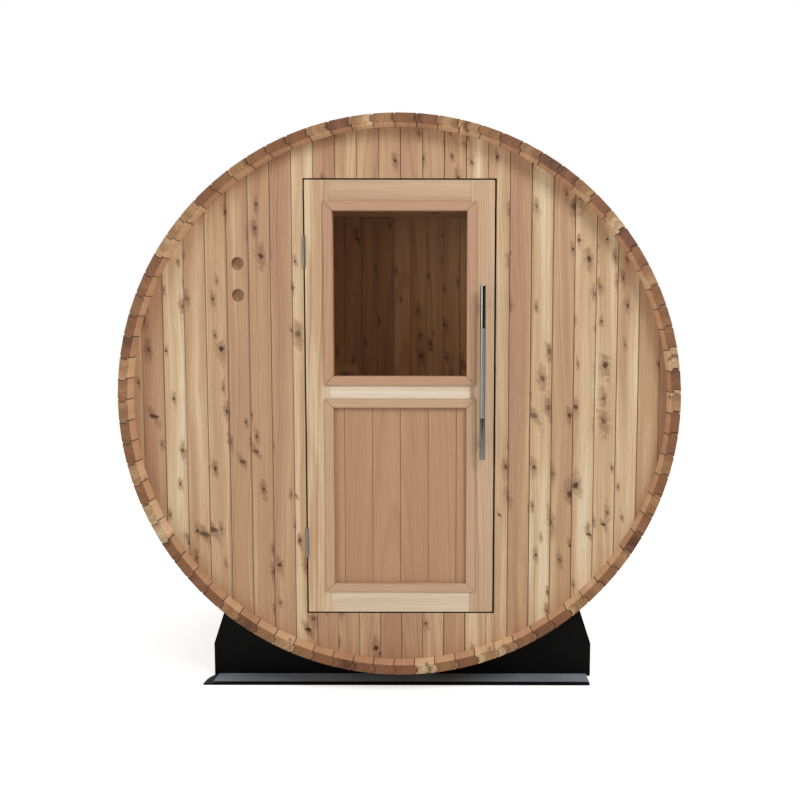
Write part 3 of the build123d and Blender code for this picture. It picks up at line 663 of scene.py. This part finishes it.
gapShadeFront = leafFront + gapShade["behindFace"]
gapShadeBack = gapShadeFront + gapShade["depth"]
thick = gapShade["thickness"]
inner = doorHalf - thick
work = bmesh.new()
for left, right, base, top in (
    (-doorHalf, -inner, sillTop, headBottom), (inner, doorHalf, sillTop, headBottom),
    (-inner, inner, headBottom - thick, headBottom), (-inner, inner, sillTop, sillTop + thick),
):
    boardMesh(work, [(left, base), (right, base), (right, top), (left, top)], gapShadeFront, gapShadeBack)
bmesh.ops.recalc_face_normals(work, faces=work.faces)
facingOut = [e for e in work.edges if all(abs(v.co.y - gapShadeFront) < 1e-6 for v in e.verts)]
bmesh.ops.bevel(work, geom=facingOut, offset=gapShade["round"], segments=3, affect="EDGES", clamp_overlap=True)
gapShadeMesh = toMesh(work, "door_gap_shade")
addPiece("door_gap_shade", gapShadeMesh, gapShadeLook, "cabin")

# A thin slide behind the vents, drawn across them. Its almost cream colour is painted light, so the holes look
# pale though their bores shade it
slide = {"width": 84 * mm, "over": 40 * mm, "thickness": 9 * mm, "gap": 0.2 * mm, "ease": 1.0 * mm}
vents = {"x": -531 * mm, "lower": 343 * mm, "upper": 446 * mm}
work = bmesh.new()
slideLow, slideHigh = vents["lower"] - slide["over"], vents["upper"] + slide["over"]
slideBack = bored[1].y + slide["gap"]
left, right = vents["x"] - slide["width"] / 2, vents["x"] + slide["width"] / 2
outline = [(left, slideLow), (right, slideLow), (right, slideHigh), (left, slideHigh)]
boardMesh(work, outline, slideBack, slideBack + slide["thickness"])
bmesh.ops.recalc_face_normals(work, faces=work.faces)
bmesh.ops.bevel(work, geom=list(work.edges), offset=slide["ease"], segments=2, affect="EDGES")
slideMesh = toMesh(work, "vent_slide")
paintedLightSlideWood = dict(doorWood, name="planedCedarSlide", seed=61.0, tones=[(0.0, "#FFDDB8"), (1.0, "#F6CDA4")])
addPiece("vent_slide", slideMesh, plankMaterial(paintedLightSlideWood), "cabin")

for node, look in (
    ("door_glass", paneGlass),
    ("hinges_frame_side", hingeSteel), ("hinges_door_side", hingeSteel),
    ("cradle_front", powderCoat), ("cradle_rear", powderCoat),
    ("band_front", bandSteel), ("band_rear", bandSteel),
    ("handle_posts", chrome),
):
    dress(node, look)


def lathe(work, centre, profile, direction=(0, 0, 1), segments=64):
    # Rings given as pairs of radius and place along the axis, closed at both ends
    turn = Vector(direction).to_track_quat("Z", "Y").to_matrix().to_4x4()
    place = Matrix.Translation(centre) @ turn
    rings = []
    around = [2 * math.pi * i / segments for i in range(segments)]
    for radius, height in profile:
        points = [Vector((radius * math.cos(a), radius * math.sin(a), height)) for a in around]
        rings.append([work.verts.new(place @ point) for point in points])
    for lower, upper in zip(rings, rings[1:]):
        for i in range(segments):
            j = (i + 1) % segments
            work.faces.new((lower[i], lower[j], upper[j], upper[i]))
    work.faces.new(rings[0][::-1])
    work.faces.new(rings[-1])


def turned(name, centre, profile, material, body, node=None):
    work = bmesh.new()
    lathe(work, centre, profile)
    bmesh.ops.recalc_face_normals(work, faces=work.faces)
    mesh = toMesh(work, name)
    return addPiece(name, mesh, material, body, node, smooth=True)


# Pull handle: a satin grip between two polished ends, a fine groove at each meeting
handle = {"radius": 9.5 * mm, "round": 1.2 * mm, "groove": 0.35 * mm, "step": 0.6 * mm}
gripLow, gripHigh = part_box("handle_grip")
barLow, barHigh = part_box("handle_ends")
barPlace = Vector(((barLow.x + barHigh.x) / 2, (barLow.y + barHigh.y) / 2, 0))
bar, soft, step = handle["radius"], handle["round"], handle["step"]
grooved = bar - handle["groove"]
# The rings just inside each end keep the shading of the long sides even
turned(
    "handle_grip_satin", barPlace,
    [(grooved, gripLow.z), (bar, gripLow.z + step), (bar, gripLow.z + 2 * step),
     (bar, gripHigh.z - 2 * step), (bar, gripHigh.z - step), (grooved, gripHigh.z)],
    satinSteel, "door", "handle_grip",
)
for name, low, high, tipDown in (
    ("handle_end_lower", barLow.z, gripLow.z, True), ("handle_end_upper", gripHigh.z, barHigh.z, False),
):
    profile = [
        (bar - soft, low), (bar - 0.3 * soft, low + 0.3 * soft), (bar, low + soft), (bar, low + soft + 0.8 * mm),
        (bar, high - 2 * step), (bar, high - step), (grooved, high),
    ]
    if not tipDown:
        profile = [(radius, low + high - height) for radius, height in profile[::-1]]
    turned(name, barPlace, profile, chrome, "door", "handle_ends")
print("handle made")

# A hexagon bolt with washers and a nut draws the two lugs of each band together
bolt = {
    "reach": 928 * mm, "turn": 138.6, "lugsOut": 11 * mm,
    "shank": 3 * mm, "hexagon": 5.77 * mm, "washer": 6.2 * mm, "washerThick": 1.2 * mm,
    "head": 4 * mm, "nut": 5 * mm, "chamfer": 0.6 * mm,
}
work = bmesh.new()
angle = math.radians(bolt["turn"])
tangent = (math.cos(angle), 0, math.sin(angle))
for node in ("band_front", "band_rear"):
    low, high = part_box(node)
    reach, out, hexagon, washer, shank = (bolt[k] for k in ("reach", "lugsOut", "hexagon", "washer", "shank"))
    washerThick, chamfer = bolt["washerThick"], bolt["chamfer"]
    centre = Vector((reach * math.sin(angle), (low.y + high.y) / 2, axisHeight - reach * math.cos(angle)))
    rod = [(shank, -out - 4 * mm), (shank, out + 9 * mm), (shank - chamfer, out + 9 * mm + chamfer)]
    lathe(work, centre, rod, tangent, 24)
    for side, thick in ((-1, bolt["head"]), (1, bolt["nut"])):
        near, far = side * (out + 0.05 * mm), side * (out + washerThick)
        lathe(work, centre, [(washer, near), (washer, far)][::side], tangent, 32)
        near, far = far, side * (out + washerThick + thick)
        rounded = [(hexagon, near), (hexagon, far - side * chamfer), (hexagon * 0.88, far)]
        lathe(work, centre, rounded[::side], tangent, 6)
bmesh.ops.recalc_face_normals(work, faces=work.faces)
boltMesh = toMesh(work, "band_bolts")
addPiece("band_bolts", boltMesh, bandSteel, "cabin")

# Socket screws sit flush in the cradles' holes, coated like the plate
screw = {
    "x": 509 * mm, "z": 96 * mm, "radius": 4.3 * mm, "socket": 2.4 * mm,
    "plate": 8 * mm, "web": 407.6 * mm,
}
work = bmesh.new()
head, socket = screw["radius"], screw["socket"]
screwProfile = [
    (head, -screw["plate"]), (head, -0.9 * mm), (head - 0.5 * mm, -0.4 * mm),
    (socket, -0.4 * mm), (socket - 0.1 * mm, -3 * mm),
]
for side in (-1, 1):
    for x in (-screw["x"], screw["x"]):
        lathe(work, Vector((x, side * screw["web"], screw["z"])), screwProfile, (0, side, 0), 32)
bmesh.ops.recalc_face_normals(work, faces=work.faces)
screwMesh = toMesh(work, "cradle_screws")
addPiece("cradle_screws", screwMesh, powderCoat, "cabin")
print("fixings made")


# Camera, floor and light
lens = bpy.data.cameras.new("camera")
lens.sensor_width = camera["sensor"]
lens.lens = camera["lens"]
lens.shift_x, lens.shift_y = camera["shift"]
lens.clip_end = 200
viewer = bpy.data.objects.new("camera", lens)
bpy.context.collection.objects.link(viewer)
viewer.location = camera["place"]
viewer.rotation_euler = (math.radians(90 - camera["pitch"]), 0, 0)
viewer.rotation_euler.rotate_axis("Z", math.radians(camera["roll"]))
bpy.context.scene.camera = viewer

studio = {
    "floorSize": 18.0, "floorColour": "#F4F4F4", "floorGlow": 0.6, "worldLight": 0.42, "frontGloss": 0.04,
    "lamps": [
        ("key", (2.6, -4.6, 4.4), 2.6, 165.0),
        ("fill", (-3.8, -4.4, 2.2), 3.0, 70.0),
        ("top", (0.0, 1.5, 4.8), 3.0, 50.0),
        ("room", (0.3, -0.25, 1.6), 0.5, 2.5),
    ],
}
floorMesh = bpy.data.meshes.new("floor")
half = studio["floorSize"] / 2
corners = [(-half, -half, 0), (half, -half, 0), (half, half, 0), (-half, half, 0)]
floorMesh.from_pydata(corners, [], [(0, 1, 2, 3)])
floor = bpy.data.objects.new("floor", floorMesh)
bpy.context.collection.objects.link(floor)
# Matt white paint: it glows a little for the camera only, so it looks white and still keeps the shadow
floorLook, tree, shader = newMaterial("studioFloorWhite")
shader.inputs["Base Color"].default_value = linear(studio["floorColour"])
shader.inputs["Roughness"].default_value = 0.9
seen = addNode(tree, "LightPath")
shader.inputs["Emission Color"].default_value = (1, 1, 1, 1)
through = seen.outputs["Is Transmission Ray"]
seenOrThrough = addNode(tree, "Math", {"operation": "MAXIMUM"}, seen.outputs["Is Camera Ray"], through)
glow = addNode(tree, "Math", {"operation": "MULTIPLY"}, seenOrThrough, studio["floorGlow"])
tree.links.new(glow.outputs[0], shader.inputs["Emission Strength"])
floorMesh.materials.append(floorLook)

world = bpy.data.worlds.new("studio")
bpy.context.scene.world = world
world.use_nodes = True
tree = world.node_tree
tree.nodes.clear()
# Gloss and glass see white behind and beside the barrel, and a dim room in front of it
seen = addNode(tree, "LightPath")
direction = addNode(tree, "SeparateXYZ", None, addNode(tree, "TexCoord").outputs["Generated"])
room = addNode(tree, "MapRange", None, direction.outputs[1], -0.2, 0.5, studio["frontGloss"], 1.0)
glossy, through = seen.outputs["Is Glossy Ray"], seen.outputs["Is Transmission Ray"]
shiny = addNode(tree, "Math", {"operation": "MAXIMUM"}, glossy, through)
glossed = addNode(tree, "MixRGB", None, shiny, (studio["worldLight"],) * 3 + (1,), room)
strength = addNode(tree, "MixRGB", None, seen.outputs["Is Camera Ray"], glossed, (1, 1, 1, 1))
sky = addNode(tree, "Background", None, (1, 1, 1, 1), strength)
addNode(tree, "OutputWorld", None, sky)

for name, place, size, watts in studio["lamps"]:
    lamp = bpy.data.lights.new(name, "AREA")
    lamp.shape = "DISK"
    lamp.size = size
    lamp.energy = watts
    holder = bpy.data.objects.new(name, lamp)
    bpy.context.collection.objects.link(holder)
    holder.location = place
    holder.rotation_euler = (Vector((0, 0, 1.0)) - Vector(place)).to_track_quat("-Z", "Y").to_euler()
bpy.context.scene.view_settings.view_transform = "Standard"
print("studio made")
